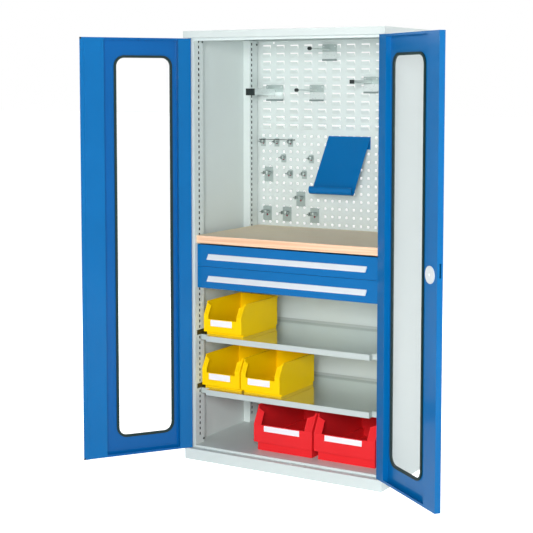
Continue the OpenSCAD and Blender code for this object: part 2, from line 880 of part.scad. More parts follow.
module hinge_bushes() {
    x = half_w - pin_inset;
    y = front + pin_inset;
    g = door_gap - bush_clear;
    color(steel) both_sides() {
        translate([x, y, 0]) difference() {
            union() {
                translate([0, 0, plinth_h - bush_h]) cylinder(h = bush_h, r = bush_outer);
                translate([0, 0, plinth_h]) cylinder(h = g, r = bush_outer + 1.5);
            }
            translate([0, 0, plinth_h - bush_h - 1]) cylinder(h = bush_h + g + 2, r = bush_r);
        }
        translate([x, y, 0]) difference() {
            union() {
                translate([0, 0, cap_z]) cylinder(h = bush_h, r = bush_outer);
                translate([0, 0, cap_z - g]) cylinder(h = g, r = bush_outer + 1.5);
            }
            translate([0, 0, cap_z - g - 1]) cylinder(h = bush_h + g + 2, r = bush_r);
        }
    }
}

module door_left_leaf() {
    color(door_blue) hang_left() door_leaf(false);
}

module door_left_stile() {
    color(door_blue) hang_left() door_stile(false);
}

module door_left_channel() {
    color(door_blue) hang_left() door_channel();
}

module door_left_gasket() {
    color(rubber) hang_left() door_gasket();
}

module door_left_window() {
    color([0.85, 0.9, 0.9, 0.4]) hang_left() door_window();
}

module door_left_pins() {
    color(steel) hang_left() door_pins();
}

// The strip behind the gap between the doors, bent clear of the right door
module lap_profile() {
    t = door_t;
    o = lap_clear + sheet;
    translate([door_w, t]) polygon([[-12, 0], [-1, 0], [-1 + lap_clear, lap_clear], [lap_out, lap_clear],
        [lap_out, o], [-1 - sheet / 2, o], [-2 - sheet, sheet], [-12, sheet]]);
}

module door_left_lap_strip() {
    y0 = door_t + lap_clear;
    color(door_blue) hang_left() difference() {
        translate([0, 0, door_z0]) linear_extrude(door_z1 - door_z0) lap_profile();
        for (z = [door_z0 - 1, door_z1 - buffer_h])
            block(lap_end - buffer_w, lap_end + 1, y0 - 1, y0 + 2 * sheet, z, z + buffer_h + 1);
    }
}

module door_left_buffers() {
    y0 = door_t + lap_clear;
    color(rubber) hang_left() for (z = [door_z0, door_z1 - buffer_h])
        block(lap_end - buffer_w, lap_end, y0, y0 + sheet, z, z + buffer_h);
}

module door_right_leaf() {
    color(door_blue) hang_right() door_leaf(true);
}

module door_right_stile() {
    color(door_blue) hang_right() door_stile(true);
}

module door_right_channel() {
    color(door_blue) hang_right() door_channel();
}

module door_right_gasket() {
    color(rubber) hang_right() door_gasket();
}

module door_right_window() {
    color([0.85, 0.9, 0.9, 0.4]) hang_right() door_window();
}

module door_right_pins() {
    color(steel) hang_right() door_pins();
}

// ---- lock ----

// Places a shape at the lock, with its z axis pointing out of the door
module at_lock(depth) {
    hang_right() translate([lock_s, depth, lock_z]) rotate([90, 0, 0]) children();
}

module lock_rose() {
    color(white) at_lock(door_t + rose_t) difference() {
        cylinder(h = rose_t, r = rose_r);
        translate([0, 0, -eps]) cylinder(h = rose_t - door_sheet, r = spindle_r + 1);
    }
}

module lock_knob() {
    color(rubber) at_lock(0) difference() {
        union() {
            translate([0, 0, lock_clear]) cylinder(h = knob_plate, r = knob_r + 4);
            translate([0, 0, knob_plate]) cylinder(h = knob_out - knob_plate, r = knob_r);
        }
        for (x = [-1, 1]) translate([x * knob_r - 9, -knob_r - 5, knob_plate + 4])
            cube([18, 2 * knob_r + 10, knob_out]);
    }
}

// The spindle with the cam, its two drive pins and the latch tongue, as it stands unlocked
module lock_cam() {
    color(steel) union() {
        at_lock(latch_t + bar_t) {
            cylinder(h = bar_t, r = drive_r + drive_pin_r + 2);
            translate([-tongue_w / 2, 0, 0]) cube([tongue_w, tongue_len, bar_t]);
        }
        at_lock(latch_t + bar_t) cylinder(h = latch_t + bar_t + lock_clear, r = spindle_r);
        at_lock(door_t - lock_clear) cylinder(h = door_t - latch_t, r = neck_r);
        at_lock(rod_t + bar_t + 1) for (a = [45, 225])
            rotate([0, 0, a]) translate([drive_r, 0, 0])
                cylinder(h = bar_t + lock_clear + 2, r = drive_pin_r);
    }
}

// The end of a rod beside the cam: a plate with the slot that the drive pin runs in
module rod_end(side) {
    slot_l = drive_r - drive_c + 2 * drive_pin_r + 2 * drive_play;
    x0 = side * (drive_c + (drive_r - drive_c) / 2);
    difference() {
        translate([x0 - slot_l / 2 - rod_wall, -rod_end_h])
            square([slot_l + 2 * rod_wall, rod_end_h + bridge_z1 - 2]);
        translate([x0 - slot_l / 2, -drive_c - drive_pin_r - drive_play])
            square([slot_l, 2 * drive_pin_r + 2 * drive_play]);
    }
}

// A rod from its drive slot to just inside the rim of the door
module rod(reach) {
    rod_end(-1);
    translate([-rod_w / 2 - 6, bridge_z0]) square([rod_w + 6, bridge_z1 - bridge_z0]);
    translate([-rod_w / 2, bridge_z0]) square([rod_w, reach - bridge_z0]);
}

module lock_rod_upper() {
    color(steel) at_lock(rod_t + bar_t) linear_extrude(bar_t) rod(door_z1 - lock_z - 0.5);
}

module lock_rod_lower() {
    color(steel) at_lock(rod_t + bar_t) linear_extrude(bar_t) rotate([0, 0, 180])
        rod(lock_z - door_z0 - 0.5);
}

// ---- bins ----

// An open-fronted stacking bin, front left corner at the origin
module bin(w, l, h, foot_h, foot_in, foot_back, mouth_z) {
    t = bin_wall;
    shoulder = h * bin_shoulder;
    slope = h * bin_slope;
    side = [[0, foot_h], [0, shoulder], [slope, h], [l, h], [l, foot_h]];
    mouth_x = w * mouth_side;
    ledge_x = bin_rim + 2 * t;
    post_z = h * mouth_post;
    ledge_z = h * mouth_ledge;
    difference() {
        union() {
            translate([bin_rim, 0, 0]) rotate([90, 0, 90]) linear_extrude(w - 2 * bin_rim) polygon(side);
            block(0, w, slope + 1, l, h - rim_h, h);
            block(foot_in, w - foot_in, foot_back, l - bin_rim, 0, foot_h + eps);
        }
        // the body's hollow, open at the top
        translate([bin_rim + t, 0, 0]) rotate([90, 0, 90]) linear_extrude(w - 2 * bin_rim - 2 * t)
            polygon([[t, foot_h + t], [t, shoulder], [slope + t, h + 1], [l - bin_rim - t, h + 1],
                [l - bin_rim - t, foot_h + t]]);
        // the foot's hollow
        block(foot_in + t, w - foot_in - t, foot_back + t, l - bin_rim - t, t, foot_h + t + eps);
        // the way in at the front
        translate([0, slope + t + 1, 0]) rotate([90, 0, 0]) linear_extrude(slope + t + 2)
            polygon([[mouth_x, mouth_z], [w - mouth_x, mouth_z], [w - mouth_x, post_z], [w - ledge_x, ledge_z],
                [w - ledge_x, h + 1], [ledge_x, h + 1], [ledge_x, ledge_z], [mouth_x, post_z]]);
    }
}

module yellow_bin() {
    color(bin_yellow) bin(bin_s_w, bin_s_l, bin_s_h, foot_s_h, foot_s_in, foot_s_back, mouth_s_z);
}

module red_bin() {
    color(bin_red) bin(bin_l_w, bin_l_l, bin_l_h, foot_l_h, foot_l_in, foot_l_back, mouth_l_z);
}

module bin_yellow_top() {
    translate([-open_w + top_bin_gap, inner_front + bin_s_y, shelf_upper_z + bin_clear]) yellow_bin();
}

module bin_yellow_left() {
    translate([-open_w + pair_gap, inner_front + bin_s_y, shelf_lower_z + bin_clear]) yellow_bin();
}

module bin_yellow_right() {
    x = -open_w + pair_gap + bin_s_w + pair_between;
    translate([x, inner_front + bin_s_y, shelf_lower_z + bin_clear]) yellow_bin();
}

module bin_red_left() {
    translate([-open_w + red_x, front + bin_l_y, floor_z + bin_clear]) red_bin();
}

module bin_red_right() {
    x = -open_w + red_x + bin_l_w + red_gap;
    translate([x, front + bin_l_y, floor_z + bin_clear]) red_bin();
}

// ---- panel fittings ----

// Height of the lip of a louvre, counted down from the top row
function louvre_z(down) = louvre_row_z0 + (louvre_rows - 1 - down) * panel_pitch;

// A plate that spans two rows of louvres, with folded edges that reach the panel
module hook_plate(x, down, w) {
    z1 = louvre_z(down) + louvre_slot - 1;
    z0 = louvre_z(down + 2) + louvre_slot / 2;
    y0 = hook_back - plate_t;
    block(x - w / 2, x + w / 2, y0, hook_back, z0, z1);
    for (z = [z0, z1 - plate_t]) block(x - w / 2, x + w / 2, y0, panel_y, z, z + plate_t);
}

// Across, louvre rows below the top one, and height against that row
rod_places = [[-69, 0, -19], [-137, 5, -19]];
bar_place = [149, 4, -19];
broad_place = [-384, 5, -28];

module rod_hooks() {
    color(steel) for (p = rod_places) {
        hook_plate(p[0], p[1], plate_w);
        translate([p[0], hook_back - 1, louvre_z(p[1]) + p[2]]) rotate([90, 0, 0])
            cylinder(h = hook_l, r = hook_r);
    }
}

module bar_hook() {
    s = bar_side;
    color(steel) {
        hook_plate(bar_place[0], bar_place[1], plate_w);
        block(bar_place[0] - s / 2, bar_place[0] + s / 2, hook_back - hook_l - 1, hook_back - 1,
            louvre_z(bar_place[1]) + bar_place[2] - s / 2, louvre_z(bar_place[1]) + bar_place[2] + s / 2);
    }
}

module broad_hook() {
    x = broad_place[0];
    z = louvre_z(broad_place[1]) + broad_place[2];
    color(steel) {
        hook_plate(x + broad_shift, broad_place[1], broad_plate_w);
        difference() {
            block(x - broad_w / 2, x + broad_w / 2, hook_back - broad_l - 1, hook_back - 1,
                z - broad_h / 2, z + broad_h / 2);
            block(x - broad_w / 2 + sheet, x + broad_w / 2 - sheet, hook_back - broad_l - 2, hook_back - 10,
                z - broad_h / 2 + sheet, z + broad_h / 2 - sheet);
        }
    }
}

// Plastic caps on the ends of the hooks
module hook_tips() {
    y = hook_back - hook_l - 1;
    h = tip_t + 6;
    color(rubber) {
        for (p = rod_places) translate([p[0], y + 6, louvre_z(p[1]) + p[2]]) rotate([90, 0, 0])
            difference() {
                cylinder(h = h, r = 2.1 * hook_r);
                translate([0, 0, -1]) cylinder(h = 7, r = hook_r);
            }
        tip_cap(bar_place, bar_side, bar_side, y);
        tip_cap(broad_place, broad_w, broad_h, hook_back - broad_l - 1);
    }
}

// A rectangular cap that closes the end of a hook
module tip_cap(place, w, h, y) {
    x = place[0];
    z = louvre_z(place[1]) + place[2];
    difference() {
        block(x - w / 2 - 2, x + w / 2 + 2, y - tip_t, y + 6, z - h / 2 - 2, z + h / 2 + 2);
        block(x - w / 2, x + w / 2, y, y + 7, z - h / 2, z + h / 2);
    }
}

// A sloping plate with a back flange, two pegs in the square holes and a curled lip
module document_holder() {
    t = sheet;
    r = holder_lip_r;
    x0 = panel_cols[holder_col] - holder_side;
    peg_z = peg_row_z0 + (peg_rows - 2) * panel_pitch;
    top = peg_z + holder_rise;
    fall = holder_l * cos(holder_lean);
    reach = holder_l * sin(holder_lean);
    curl = [panel_y - reach - r - t, top - fall];
    color(door_blue) {
        translate([x0, 0, 0]) rotate([90, 0, 90]) linear_extrude(holder_w) polygon(concat(
            [[panel_y, top - holder_flange], [panel_y, top], [panel_y - t, top]],
            [for (k = [0 : 32]) curl + r * [cos(k * holder_curl / 32), -sin(k * holder_curl / 32)]],
            [for (k = [32 : -1 : 0]) curl + (r + t) * [cos(k * holder_curl / 32), -sin(k * holder_curl / 32)]],
            [[panel_y - t, top - t * fall / reach], [panel_y - t, top - holder_flange]]));
        for (x = [panel_cols[holder_col], panel_cols[holder_col + 3]])
            block(x - 4, x + 4, panel_y - t / 2, panel_y + 6, peg_z - 4, peg_z + 4);
    }
}

// A spring clip on the panel: a ring on a base plate, open towards the front
module clip(col, row, r) {
    x = panel_cols[0] + col * panel_pitch;
    z = peg_row_z0 + row * panel_pitch + clip_rise;
    y = panel_y - r - clip_wall;
    plate_x = clip_plate * r;
    difference() {
        union() {
            translate([x, y, z]) cylinder(h = clip_h, r = r, center = true);
            block(x - plate_x, x + plate_x, panel_y - clip_wall, panel_y, z - plate_down * r,
                z + plate_up * r);
            block(x - r / 2, x + r / 2, y, panel_y, z - clip_h / 2, z + clip_h / 2);
        }
        translate([x, y, z]) cylinder(h = clip_h + 1, r = r - clip_wall, center = true);
        translate([x - r * clip_mouth, y - r - 1, z - clip_h]) cube([2 * r * clip_mouth, r, 2 * clip_h]);
    }
}

small_clips = [[0, 10], [2, 10], [4, 10], [3, 8], [7, 8], [4, 6], [6, 6]];
large_clips = [[0.8, 6], [5.5, 3], [0.6, 1], [3.5, 1], [7.5, 1]];

module tool_clips() {
    color(steel) {
        for (c = small_clips) clip(c[0], c[1], clip_small_r);
        for (c = large_clips) clip(c[0], c[1], clip_large_r);
    }
}

// A thin rail on two feet that passes behind the upper row of clips
module clip_rail() {
    x0 = -open_w + 3;
    x1 = panel_cols[small_clips[2][0]] + panel_pitch / 2 + 7;
    z = peg_row_z0 + small_clips[0][1] * panel_pitch + panel_pitch / 2;
    color(steel) {
        translate([x0, panel_y - 5, z]) rotate([0, 90, 0]) cylinder(h = x1 - x0, r = clip_rail_r);
        for (x = [x0 + 4, x1 - 4]) translate([x, panel_y, z]) rotate([90, 0, 0])
            cylinder(h = 5 + clip_rail_r, r = clip_rail_r + 1);
    }
}

side_left();
side_right();
roof_cap();
header_rail();
plinth();
floor_tray();
back_lower();
pegboard_panel();
louvre_panel();
post_front_left();
post_front_right();
post_rear_left();
post_rear_right();
worktop();
drawer_carriers();
drawer_outer_rails();
shelf_upper();
shelf_lower();
shelf_rails();
hinge_bushes();
body_bolts();
document_holder();
rod_hooks();
bar_hook();
broad_hook();
hook_tips();
tool_clips();
clip_rail();
door_left_leaf();
door_left_stile();
door_left_channel();
door_left_gasket();
door_left_window();
door_left_pins();
door_left_lap_strip();
door_left_buffers();
door_right_leaf();
door_right_stile();
door_right_channel();
door_right_gasket();
door_right_window();
door_right_pins();
lock_rose();
lock_knob();
lock_cam();
lock_rod_upper();
lock_rod_lower();
drawer_upper_box();
drawer_upper_front();
drawer_upper_grip();
drawer_upper_slides();
drawer_lower_box();
drawer_lower_front();
drawer_lower_grip();
drawer_lower_slides();
bin_yellow_top();
bin_yellow_left();
bin_yellow_right();
bin_red_left();
bin_red_right();
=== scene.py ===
import json
import math

import bmesh
import bpy
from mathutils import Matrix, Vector


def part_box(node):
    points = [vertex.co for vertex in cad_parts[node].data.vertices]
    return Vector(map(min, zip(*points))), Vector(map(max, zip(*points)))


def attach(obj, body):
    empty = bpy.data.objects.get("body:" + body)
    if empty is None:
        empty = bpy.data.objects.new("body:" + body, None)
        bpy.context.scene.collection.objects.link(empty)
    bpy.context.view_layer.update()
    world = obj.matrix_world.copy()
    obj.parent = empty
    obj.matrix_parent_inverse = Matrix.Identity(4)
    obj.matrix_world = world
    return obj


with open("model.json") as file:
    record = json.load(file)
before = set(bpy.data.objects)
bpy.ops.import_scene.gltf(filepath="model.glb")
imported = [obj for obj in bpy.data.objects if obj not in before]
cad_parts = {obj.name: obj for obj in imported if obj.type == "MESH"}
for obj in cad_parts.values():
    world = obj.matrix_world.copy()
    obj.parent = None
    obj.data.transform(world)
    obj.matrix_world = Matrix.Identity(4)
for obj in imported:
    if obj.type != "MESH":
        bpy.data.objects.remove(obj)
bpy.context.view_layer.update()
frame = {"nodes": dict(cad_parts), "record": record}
nodes = frame["nodes"]
print("cabinet loaded with", len(nodes), "parts")


def srgb(r, g, b):
    # screen colour 0-255 to the linear values that a shader takes
    def one(c):
        c = c / 255
        return c / 12.92 if c <= 0.04045 else ((c + 0.055) / 1.055) ** 2.4
    return (one(r), one(g), one(b), 1.0)


def darker(colour, share):
    return tuple(c * share for c in colour[:3]) + (1.0,)


def startMaterial(name):
    mat = bpy.data.materials.new(name)
    mat.use_nodes = True
    tree = mat.node_tree
    return mat, tree, tree.nodes["Principled BSDF"]


def place(tree, scale):
    # object coordinates, stretched
    coords = tree.nodes.new("ShaderNodeTexCoord")
    stretch = tree.nodes.new("ShaderNodeMapping")
    stretch.inputs["Scale"].default_value = scale
    tree.links.new(coords.outputs["Object"], stretch.inputs["Vector"])
    return stretch.outputs["Vector"]


def axesOf(tree, kind):
    # X, Y and Z of the Object or Normal coordinates
    coords = tree.nodes.new("ShaderNodeTexCoord")
    axes = tree.nodes.new("ShaderNodeSeparateXYZ")
    tree.links.new(coords.outputs[kind], axes.inputs["Vector"])
    return axes.outputs


def noise(tree, vector, scale, detail=4.0, rough=0.5):
    n = tree.nodes.new("ShaderNodeTexNoise")
    n.inputs["Scale"].default_value = scale
    n.inputs["Detail"].default_value = detail
    n.inputs["Roughness"].default_value = rough
    tree.links.new(vector, n.inputs["Vector"])
    return n.outputs["Fac"]


def spread(tree, value, low, high, fromLow=0.3, fromHigh=0.7):
    m = tree.nodes.new("ShaderNodeMapRange")
    m.inputs["From Min"].default_value = fromLow
    m.inputs["From Max"].default_value = fromHigh
    m.inputs["To Min"].default_value = low
    m.inputs["To Max"].default_value = high
    tree.links.new(value, m.inputs["Value"])
    return m.outputs["Result"]


def calc(tree, operation, first, second):
    m = tree.nodes.new("ShaderNodeMath")
    m.operation = operation
    for socket, value in zip(m.inputs, (first, second)):
        if isinstance(value, (int, float)):
            socket.default_value = value
        else:
            tree.links.new(value, socket)
    return m.outputs["Value"]


def blendColours(tree, value, first, second):
    mix = tree.nodes.new("ShaderNodeMix")
    mix.data_type = "RGBA"
    for key, colour in (("A", first), ("B", second)):
        if isinstance(colour, tuple):
            mix.inputs[key].default_value = colour
        else:
            tree.links.new(colour, mix.inputs[key])
    tree.links.new(value, mix.inputs["Factor"])
    return mix.outputs["Result"]


def bumpFrom(tree, shader, value, height, strength):
    b = tree.nodes.new("ShaderNodeBump")
    b.inputs["Distance"].default_value = height
    b.inputs["Strength"].default_value = strength
    tree.links.new(value, b.inputs["Height"])
    tree.links.new(b.outputs["Normal"], shader.inputs["Normal"])


# how far a face looks up between upright and flat
flatBand = (0.4, 0.8)
paintFilm = {"clearRoughness": 0.12, "peelStrength": 0.5}


def powderCoat(name, look, shadeMask=None):
    # baked paint: faint clouds, fine orange peel, a thin clear layer; a shade mask, when given,
    # adds painted shade
    mat, tree, shader = startMaterial(name)
    where = place(tree, (1, 1, 1))
    cloudy = noise(tree, where, look["cloudScale"], 3)
    colour = blendColours(tree, spread(tree, cloudy, 0, 1),
                          darker(look["colour"], 1 - look["cloud"]), look["colour"])
    # painted shade: where the mask is 1, the colour becomes the near-black hollow shade
    if shadeMask:
        colour = blendColours(tree, shadeMask(tree), colour, look["hollowShade"])
    tree.links.new(colour, shader.inputs["Base Color"])
    tree.links.new(spread(tree, cloudy, *look["gloss"]), shader.inputs["Roughness"])
    shader.inputs["Specular IOR Level"].default_value = look["shine"]
    shader.inputs["Coat Weight"].default_value = look["lacquer"]
    shader.inputs["Coat Roughness"].default_value = paintFilm["clearRoughness"]
    bumpFrom(tree, shader, noise(tree, where, look["peelScale"], 2), look["peelHeight"],
             paintFilm["peelStrength"])
    return mat


# metres: middles and half depth of the front and rear posts, and the face of their webs
postPlace = {"middles": (-0.2285, 0.247), "halfDepth": 0.0353, "webFace": 0.4633, "inward": -0.2}


def nearPosts(tree):
    # distance from the middle of the cabinet, and 1 within the depth of a front or rear post
    axes = axesOf(tree, "Object")
    front, rear = [calc(tree, "COMPARE", axes["Y"], middle) for middle in postPlace["middles"]]
    for near in (front, rear):
        near.node.inputs[2].default_value = postPlace["halfDepth"]
    return calc(tree, "ABSOLUTE", axes["X"], 0), calc(tree, "MAXIMUM", front, rear)


def postHollowShade(tree):
    # painted shade: all of a post behind the face of its web is painted near black, so that the
    # slots look into the dark
    side, near = nearPosts(tree)
    return calc(tree, "MULTIPLY", calc(tree, "GREATER_THAN", side, postPlace["webFace"]), near)


def wallShadeBehindPosts(tree):
    # painted shade on the inner face of a side panel, where a post covers it
    near = nearPosts(tree)[1]
    outward = calc(tree, "MULTIPLY", axesOf(tree, "Object")["X"], axesOf(tree, "Normal")["X"])
    return calc(tree, "MULTIPLY", calc(tree, "LESS_THAN", outward, postPlace["inward"]), near)


# hollowShade is painted shade, near black, for the insides of the posts and the side walls behind
# them
greyLook = {"colour": srgb(214, 224, 222), "cloud": 0.03, "cloudScale": 3.0, "gloss": (0.4, 0.5),
            "shine": 0.4, "lacquer": 0.1, "peelScale": 420.0, "peelHeight": 0.00012,
            "hollowShade": srgb(3, 4, 4)}
blueLook = {"colour": srgb(2, 106, 172), "cloud": 0.06, "cloudScale": 4.0, "gloss": (0.3, 0.4),
            "shine": 0.08, "lacquer": 0.22, "peelScale": 420.0, "peelHeight": 0.00004}
gripLook = {"colour": srgb(226, 232, 236), "cloud": 0.03, "cloudScale": 6.0, "gloss": (0.3, 0.4),
            "shine": 0.4, "lacquer": 0.2, "peelScale": 500.0, "peelHeight": 0.00006}
greyPaint = powderCoat("greyPaint", greyLook)
# posts and side panels take the grey paint with painted shade in and behind the post hollows
postShadedPaint = powderCoat("postShadedPaint", greyLook, postHollowShade)
wallShadedPaint = powderCoat("wallShadedPaint", greyLook, wallShadeBehindPosts)
bluePaint = powderCoat("bluePaint", blueLook)
# painted shade: the left door's leaf is the door blue made darker, standing in for its shading
leafShadedPaint = powderCoat("leafShadedPaint", {**blueLook, "colour": srgb(2, 94, 164)})
gripCoat = powderCoat("gripCoat", gripLook)

foldChange = {"rougher": 0.35, "metal": 0.25}


def rolledZinc(name, look):
    # zinc-plated steel with faint rolling lines; upright folds can be duller than the flat
    mat, tree, shader = startMaterial(name)
    lines = noise(tree, place(tree, look["stretch"]), look["lineScale"], 6, 0.6)
    colour = blendColours(tree, spread(tree, lines, 0, 1), darker(look["colour"], look["dark"]),
                          look["colour"])
    gloss = spread(tree, lines, *look["gloss"])
    shader.inputs["Metallic"].default_value = look["metal"]
    if "fold" in look:
        upright = spread(tree, calc(tree, "ABSOLUTE", axesOf(tree, "Normal")["Z"], 0), 1, 0,
                         *flatBand)
        colour = blendColours(tree, upright, colour, look["fold"])
        gloss = calc(tree, "ADD", gloss, calc(tree, "MULTIPLY", upright, foldChange["rougher"]))
        tree.links.new(spread(tree, upright, look["metal"], foldChange["metal"], 0, 1),
                       shader.inputs["Metallic"])
    tree.links.new(colour, shader.inputs["Base Color"])
    tree.links.new(gloss, shader.inputs["Roughness"])
    bumpFrom(tree, shader, lines, look["grain"], 0.3)
    return mat


shelfZinc = rolledZinc("shelfZinc", {
    "colour": srgb(222, 230, 228), "dark": 0.93, "stretch": (1, 18, 18), "lineScale": 14.0,
    "metal": 0.85, "gloss": (0.07, 0.16), "grain": 0.00002, "fold": srgb(186, 196, 194)})
brightZinc = rolledZinc("brightZinc", {
    "colour": srgb(212, 222, 220), "dark": 0.93, "stretch": (6, 6, 6), "lineScale": 30.0,
    "metal": 0.3, "gloss": (0.25, 0.4), "grain": 0.00006})
# painted shade and painted reflection: the rails' dark olive stands in for zinc in the bins' shade,
# tinted by the yellow bins
oliveShadedZinc = rolledZinc("oliveShadedZinc", {
    "colour": srgb(88, 82, 40), "dark": 0.4, "stretch": (5, 9, 9), "lineScale": 26.0,
    "metal": 0.6, "gloss": (0.3, 0.5), "grain": 0.00008})
pocketZinc = rolledZinc("pocketZinc", {
    "colour": srgb(172, 187, 184), "dark": 0.9, "stretch": (6, 6, 6), "lineScale": 30.0,
    "metal": 0.3, "gloss": (0.3, 0.45), "grain": 0.00006})
# painted shade: the hook plates' lower lips are dark zinc that stands in for the shade under the
# fold
lipShadedZinc = rolledZinc("lipShadedZinc", {
    "colour": srgb(132, 147, 145), "dark": 0.85, "stretch": (6, 6, 6), "lineScale": 30.0,
    "metal": 0.3, "gloss": (0.3, 0.45), "grain": 0.00006})
darkSteel = rolledZinc("darkSteel", {
    "colour": srgb(104, 112, 110), "dark": 0.7, "stretch": (6, 6, 6), "lineScale": 40.0,
    "metal": 0.8, "gloss": (0.3, 0.45), "grain": 0.00004})


def moulded(name, look):
    # injection moulded plastic with a fine satin texture
    mat, tree, shader = startMaterial(name)
    where = place(tree, (1, 1, 1))
    mottle = noise(tree, where, look["mottleScale"], 3)
    colour = blendColours(tree, spread(tree, mottle, 0, 1), darker(look["colour"], look["shade"]),
                          look["colour"])
    tree.links.new(colour, shader.inputs["Base Color"])
    tree.links.new(spread(tree, mottle, *look["gloss"]), shader.inputs["Roughness"])
    shader.inputs["Specular IOR Level"].default_value = look["shine"]
    bumpFrom(tree, shader, noise(tree, where, look["grainScale"], 2), look["grainHeight"], 0.4)
    return mat


yellowPlastic = moulded("yellowPlastic", {
    "colour": srgb(255, 212, 0), "shade": 0.97, "mottleScale": 9.0, "gloss": (0.4, 0.5),
    "shine": 0.12, "grainScale": 700.0, "grainHeight": 0.00005})
redPlastic = moulded("redPlastic", {
    "colour": srgb(234, 40, 46), "shade": 0.96, "mottleScale": 9.0, "gloss": (0.36, 0.46),
    "shine": 0.2, "grainScale": 700.0, "grainHeight": 0.00005})
whitePlastic = moulded("whitePlastic", {
    "colour": srgb(226, 230, 230), "shade": 0.97, "mottleScale": 12.0, "gloss": (0.35, 0.45),
    "shine": 0.5, "grainScale": 700.0, "grainHeight": 0.00005})
darkPlastic = moulded("darkPlastic", {
    "colour": srgb(26, 36, 36), "shade": 0.8, "mottleScale": 20.0, "gloss": (0.4, 0.55),
    "shine": 0.4, "grainScale": 900.0, "grainHeight": 0.00008})
sealRubber = moulded("sealRubber", {
    "colour": srgb(8, 42, 40), "shade": 0.7, "mottleScale": 30.0, "gloss": (0.5, 0.65),
    "shine": 0.3, "grainScale": 800.0, "grainHeight": 0.00008})
labelPaper = moulded("labelPaper", {
    "colour": srgb(244, 242, 248), "shade": 0.98, "mottleScale": 60.0, "gloss": (0.5, 0.65),
    "shine": 0.2, "grainScale": 1500.0, "grainHeight": 0.00003})
redRivet = moulded("redRivet", {
    "colour": srgb(150, 60, 74), "shade": 0.7, "mottleScale": 40.0, "gloss": (0.35, 0.5),
    "shine": 0.4, "grainScale": 900.0, "grainHeight": 0.00004})


def clearPane(name, look):
    mat, tree, shader = startMaterial(name)
    smear = noise(tree, place(tree, (1, 1, 1)), look["smearScale"], 3)
    tree.links.new(spread(tree, smear, *look["gloss"]), shader.inputs["Roughness"])
    shader.inputs["Base Color"].default_value = look["colour"]
    shader.inputs["Alpha"].default_value = look["cover"]
    shader.inputs["IOR"].default_value = look["bend"]
    return mat


acrylic = clearPane("acrylic", {"colour": (0.95, 0.98, 0.98, 1), "cover": 0.05, "bend": 1.45,
                                "smearScale": 5.0, "gloss": (0.04, 0.08)})


def beechBoard(name, look):
    # grain along X on the top; the edges show the glued layers
    mat, tree, shader = startMaterial(name)
    fine = noise(tree, place(tree, look["grainStretch"]), look["grainScale"], 8, 0.65)
    broad = noise(tree, place(tree, look["flakeStretch"]), look["flakeScale"], 3)
    top = blendColours(tree, spread(tree, fine, 0, 1), look["topDark"], look["topLight"])
    top = blendColours(tree, spread(tree, broad, 0, look["flakeDepth"]), top, look["topWarm"])
    layers = noise(tree, place(tree, look["layerStretch"]), look["layerScale"], 2)
    edge = blendColours(tree, spread(tree, layers, 0, 1, *look["layerBand"]), look["edgeDark"],
                        look["edgeLight"])
    flat = spread(tree, axesOf(tree, "Normal")["Z"], 0, 1, *flatBand)
    tree.links.new(blendColours(tree, flat, edge, top), shader.inputs["Base Color"])
    tree.links.new(spread(tree, broad, *look["gloss"]), shader.inputs["Roughness"])
    shader.inputs["Specular IOR Level"].default_value = look["shine"]
    bumpFrom(tree, shader, fine, look["grainHeight"], 0.3)
    return mat


beech = beechBoard("beech", {
    "topLight": srgb(244, 226, 198), "topDark": srgb(228, 206, 176), "topWarm": srgb(246, 220, 184),
    "edgeLight": srgb(248, 208, 176), "edgeDark": srgb(234, 186, 148),
    "grainStretch": (2, 60, 60), "grainScale": 6.0, "grainHeight": 0.0002,
    "flakeStretch": (1.2, 14, 14), "flakeScale": 4.0, "flakeDepth": 0.5,
    "layerStretch": (0.6, 0.6, 60), "layerScale": 3.0, "layerBand": (0.42, 0.58),
    "gloss": (0.4, 0.52), "shine": 0.35})

finishOf = {
    "grey_paint": greyPaint, "blue_paint": bluePaint, "galvanised": shelfZinc,
    "olive_zinc": oliveShadedZinc, "plated_steel": brightZinc, "dark_plastic": darkPlastic,
    "rubber_profile": sealRubber, "clear_pane": acrylic, "white_plastic": whitePlastic,
    "grip_aluminium": gripCoat, "beech": beech, "yellow_plastic": yellowPlastic,
    "red_plastic": redPlastic,
}
posts = ["post_front_left", "post_front_right", "post_rear_left", "post_rear_right"]
ownFinish = {"side_left": wallShadedPaint, "side_right": wallShadedPaint, "body_bolts": darkSteel,
             "clip_rail": darkSteel, "tool_clips": pocketZinc, "door_left_leaf": leafShadedPaint}
ownFinish.update({post: postShadedPaint for post in posts})
slotOf = {entry["node"]: entry["material_slot"] for entry in frame["record"]["subparts"]}
for name, part in nodes.items():
    part.data.materials.clear()
    part.data.materials.append(ownFinish.get(name, finishOf[slotOf[name]]))
print("finishes on", len(nodes), "parts")

# metres; folded sheet and moulded parts have no sharp corners
plainRadius = 0.0005
edgeRadius = {
    "roof_cap": 0.002, "plinth": 0.002, "worktop": 0.0012, "lock_knob": 0.0015, "lock_rose": 0.0012,
    "drawer_upper_front": 0.0018, "drawer_lower_front": 0.0018,
    "drawer_upper_grip": 0.0008, "drawer_lower_grip": 0.0008,
    "door_left_gasket": 0.0018, "door_right_gasket": 0.0018,
    "door_left_channel": 0.003, "door_right_channel": 0.003,
    "door_left_stile": 0.0024, "door_right_stile": 0.0024,
}
keepSharp = {"pegboard_panel", "louvre_panel", "door_left_window", "door_right_window", *posts}


def softenEdges(part, radius):
    bevel = part.modifiers.new("foldedEdges", "BEVEL")
    bevel.width = radius
    bevel.segments = 2
    bevel.limit_method = "ANGLE"
    bevel.angle_limit = math.radians(40)
    bevel.harden_normals = True


for name, part in nodes.items():
    if name not in keepSharp:
        softenEdges(part, edgeRadius.get(name, plainRadius))
print("edges folded")


